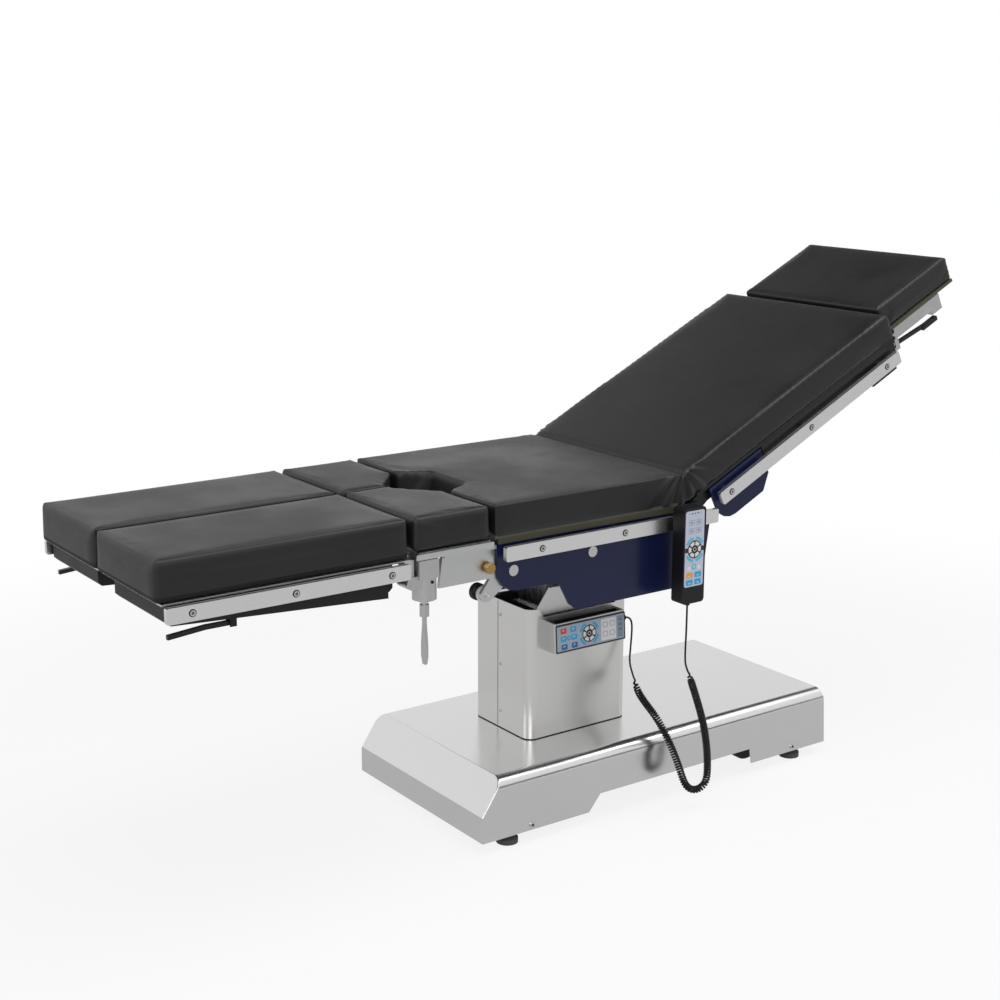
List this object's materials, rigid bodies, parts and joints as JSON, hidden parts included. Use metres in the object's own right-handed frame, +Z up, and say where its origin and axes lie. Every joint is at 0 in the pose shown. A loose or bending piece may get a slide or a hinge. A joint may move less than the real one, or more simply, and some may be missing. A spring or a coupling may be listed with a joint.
{
  "type": "operating table",
  "caption": "Electric operating table: wheeled base, lifting column, tilting seat, back, head and two leg plates on hinges, with rails and a hand control.",
  "frame": {"origin": "on the floor, below the middle of the base", "axes": "+X towards the head end, +Y away from the control side, +Z up"},
  "size_m": [2.0069, 0.595, 1.1188],
  "materials": {
    "stainless_cover": "brushed stainless sheet",
    "stainless_column": "brushed stainless sheet",
    "stainless_inner": "brushed stainless sheet",
    "stainless_small": "machined screw head",
    "frame_paint": "dark paint on welded steel",
    "foot_grey": "grey rubber",
    "black_rubber": "black rubber",
    "machined_steel": "machined steel",
    "pin_steel": "turned steel",
    "black_case": "fine grained black plastic",
    "black_plastic": "black plastic",
    "cord_sheath": "black cord sheath",
    "navy_paint": "gloss navy paint",
    "olive_board": "olive laminate board",
    "black_leather": "black coated fabric, fine grain",
    "satin_rail": "satin stainless rail",
    "black_paint": "satin black paint",
    "cast_silver": "bead blasted casting",
    "bracket_steel": "satin steel plate",
    "roller_black": "black and white plastic rollers",
    "actuator_black": "black painted tube",
    "chrome_rod": "hard chrome",
    "black_tray": "black moulded tray",
    "brass_knob": "knurled brass",
    "fork_steel": "zinc plated steel",
    "caster_tyre": "black tyre with a dark red core"
  },
  "bodies": {
    "root": {"base_cover": "stainless_cover", "base_frame": "frame_paint", "feet": "foot_grey", "cover_screws": "stainless_small", "column_shroud": "stainless_column", "shroud_seal": "black_rubber", "column_post": "machined_steel", "panel_housing": "black_case", "cord_gland": "black_plastic", "cord_lead_panel": "cord_sheath", "cord_coil": "cord_sheath", "cord_lead_handset": "cord_sheath"},
    "lift": {"inner_shroud": "stainless_inner", "lift_ram": "machined_steel"},
    "tilt": {"tilt_cross": "machined_steel"},
    "seat": {"seat_frame": "navy_paint", "seat_board": "olive_board", "seat_cushion": "black_leather", "seat_rails": "satin_rail", "pivot_pins": "pin_steel"},
    "handset_unit": {"handset": "black_case"},
    "back": {"back_frame": "black_paint", "back_plates": "navy_paint", "back_board": "olive_board", "back_cushion": "black_leather", "back_rails": "satin_rail"},
    "head": {"head_frame": "cast_silver", "head_board": "olive_board", "head_cushion": "black_leather"},
    "head_lever_body": {"head_lever": "black_plastic"},
    "leg_section": {"leg_bracket": "bracket_steel", "pelvic_cushion_near": "black_leather", "pelvic_cushion_far": "black_leather", "link_rollers": "roller_black"},
    "actuator": {"actuator_barrel": "actuator_black"},
    "actuator_ram": {"actuator_rod": "chrome_rod"},
    "knuckle_near_body": {"knuckle_near": "cast_silver"},
    "clamp_near_body": {"clamp_handle_near": "cast_silver"},
    "leg_near": {"leg_frame_near": "bracket_steel", "leg_cover_near": "black_tray", "leg_rail_near": "satin_rail", "leg_cushion_near": "black_leather"},
    "lever_near_body": {"release_lever_near": "black_paint"},
    "plunger_near": {"lock_plunger_near": "brass_knob"},
    "knuckle_far_body": {"knuckle_far": "cast_silver"},
    "clamp_far_body": {"clamp_handle_far": "cast_silver"},
    "leg_far": {"leg_frame_far": "bracket_steel", "leg_cover_far": "black_tray", "leg_rail_far": "satin_rail", "leg_cushion_far": "black_leather"},
    "lever_far_body": {"release_lever_far": "black_paint"},
    "plunger_far": {"lock_plunger_far": "brass_knob"},
    "fork_foot_near": {"caster_fork_foot_near": "fork_steel"},
    "wheel_foot_near": {"caster_wheel_foot_near": "caster_tyre"},
    "fork_foot_far": {"caster_fork_foot_far": "fork_steel"},
    "wheel_foot_far": {"caster_wheel_foot_far": "caster_tyre"},
    "fork_head_near": {"caster_fork_head_near": "fork_steel"},
    "wheel_head_near": {"caster_wheel_head_near": "caster_tyre"},
    "fork_head_far": {"caster_fork_head_far": "fork_steel"},
    "wheel_head_far": {"caster_wheel_head_far": "caster_tyre"}
  },
  "joints": [
    {"name": "column_lift", "type": "slide", "parent": "root", "child": "lift", "axis": [0, 0, 1], "range_m": [0, 0.23], "deforming": ["cord_lead_panel", "cord_coil", "cord_lead_handset"]},
    {"name": "trendelenburg_tilt", "type": "hinge", "parent": "lift", "child": "tilt", "pos_m": [-0.137, 0, 0.56], "axis": [0, -1, 0], "range_deg": [-25, 25]},
    {"name": "lateral_tilt", "type": "hinge", "parent": "tilt", "child": "seat", "pos_m": [-0.137, 0, 0.56], "axis": [1, 0, 0], "range_deg": [-15, 15]},
    {"name": "back_hinge", "type": "hinge", "parent": "seat", "child": "back", "pos_m": [0.0264, 0, 0.6255], "axis": [0, 1, 0], "range_deg": [-49, 46]},
    {"name": "head_hinge", "type": "hinge", "parent": "back", "child": "head", "pos_m": [0.64705, 0, 0.92596], "axis": [0, 1, 0], "range_deg": [0, 90]},
    {"name": "head_lever_pull", "type": "hinge", "parent": "head", "child": "head_lever_body", "pos_m": [0.66847, 0, 0.92306], "axis": [0, -1, 0], "range_deg": [0, 3], "stiffness_Nm_per_rad": 2},
    {"name": "handset_lift_off", "type": "slide", "parent": "seat", "child": "handset_unit", "axis": [0, 0, 1], "range_m": [0, 0.04]},
    {"name": "leg_section_hinge", "type": "hinge", "parent": "seat", "child": "leg_section", "pos_m": [-0.42, 0, 0.585], "axis": [0, -1, 0], "range_deg": [0, 30]},
    {"name": "actuator_swing", "type": "hinge", "parent": "seat", "child": "actuator", "pos_m": [-0.14, 0, 0.535], "axis": [0, -1, 0], "range_deg": [0, 4.1]},
    {"name": "actuator_stroke", "type": "slide", "parent": "actuator", "child": "actuator_ram", "axis": [0.9997, 0, -0.0238], "range_m": [0, 0.0285]},
    {"name": "leg_spread_near", "type": "hinge", "parent": "leg_section", "child": "knuckle_near_body", "pos_m": [-0.619, -0.245, 0.6], "axis": [0, 0, 1], "range_deg": [0, 90]},
    {"name": "leg_drop_near", "type": "hinge", "parent": "knuckle_near_body", "child": "leg_near", "pos_m": [-0.656, -0.245, 0.6], "axis": [0, 1, 0], "range_deg": [-90, 0]},
    {"name": "release_lever_pull_near", "type": "hinge", "parent": "leg_near", "child": "lever_near_body", "pos_m": [-1.012, -0.243, 0.588], "axis": [0, 1, 0], "range_deg": [0, 4], "stiffness_Nm_per_rad": 2},
    {"name": "clamp_turn_near", "type": "hinge", "parent": "leg_section", "child": "clamp_near_body", "pos_m": [-0.619, -0.245, 0.54], "axis": [0, 0, 1], "range_deg": [-90, 90]},
    {"name": "lock_plunger_pull_near", "type": "slide", "parent": "leg_section", "child": "plunger_near", "axis": [0, -1, 0], "range_m": [0, 0.006], "stiffness_N_per_m": 800},
    {"name": "leg_spread_far", "type": "hinge", "parent": "leg_section", "child": "knuckle_far_body", "pos_m": [-0.619, 0.245, 0.6], "axis": [0, 0, -1], "range_deg": [0, 90]},
    {"name": "leg_drop_far", "type": "hinge", "parent": "knuckle_far_body", "child": "leg_far", "pos_m": [-0.656, 0.245, 0.6], "axis": [0, 1, 0], "range_deg": [-90, 0]},
    {"name": "release_lever_pull_far", "type": "hinge", "parent": "leg_far", "child": "lever_far_body", "pos_m": [-1.012, 0.243, 0.588], "axis": [0, 1, 0], "range_deg": [0, 4], "stiffness_Nm_per_rad": 2},
    {"name": "clamp_turn_far", "type": "hinge", "parent": "leg_section", "child": "clamp_far_body", "pos_m": [-0.619, 0.245, 0.54], "axis": [0, 0, 1], "range_deg": [-90, 90]},
    {"name": "lock_plunger_pull_far", "type": "slide", "parent": "leg_section", "child": "plunger_far", "axis": [0, 1, 0], "range_m": [0, 0.006], "stiffness_N_per_m": 800},
    {"name": "caster_swivel_foot_near", "type": "hinge", "parent": "root", "child": "fork_foot_near", "pos_m": [-0.32, -0.158, 0.1], "axis": [0, 0, 1], "continuous": true},
    {"name": "caster_spin_foot_near", "type": "hinge", "parent": "fork_foot_near", "child": "wheel_foot_near", "pos_m": [-0.345, -0.158, 0.044], "axis": [0, 1, 0], "continuous": true},
    {"name": "caster_swivel_foot_far", "type": "hinge", "parent": "root", "child": "fork_foot_far", "pos_m": [-0.32, 0.158, 0.1], "axis": [0, 0, 1], "continuous": true},
    {"name": "caster_spin_foot_far", "type": "hinge", "parent": "fork_foot_far", "child": "wheel_foot_far", "pos_m": [-0.345, 0.158, 0.044], "axis": [0, 1, 0], "continuous": true},
    {"name": "caster_swivel_head_near", "type": "hinge", "parent": "root", "child": "fork_head_near", "pos_m": [0.32, -0.158, 0.1], "axis": [0, 0, 1], "continuous": true},
    {"name": "caster_spin_head_near", "type": "hinge", "parent": "fork_head_near", "child": "wheel_head_near", "pos_m": [0.295, -0.158, 0.044], "axis": [0, 1, 0], "continuous": true},
    {"name": "caster_swivel_head_far", "type": "hinge", "parent": "root", "child": "fork_head_far", "pos_m": [0.32, 0.158, 0.1], "axis": [0, 0, 1], "continuous": true},
    {"name": "caster_spin_head_far", "type": "hinge", "parent": "fork_head_far", "child": "wheel_head_far", "pos_m": [0.295, 0.158, 0.044], "axis": [0, 1, 0], "continuous": true}
  ],
  "couplings": [
    {"joint": "actuator_swing", "follows": "leg_section_hinge", "ratio": 0.13467},
    {"joint": "actuator_stroke", "follows": "leg_section_hinge", "m_per_rad": 0.054049}
  ]
}
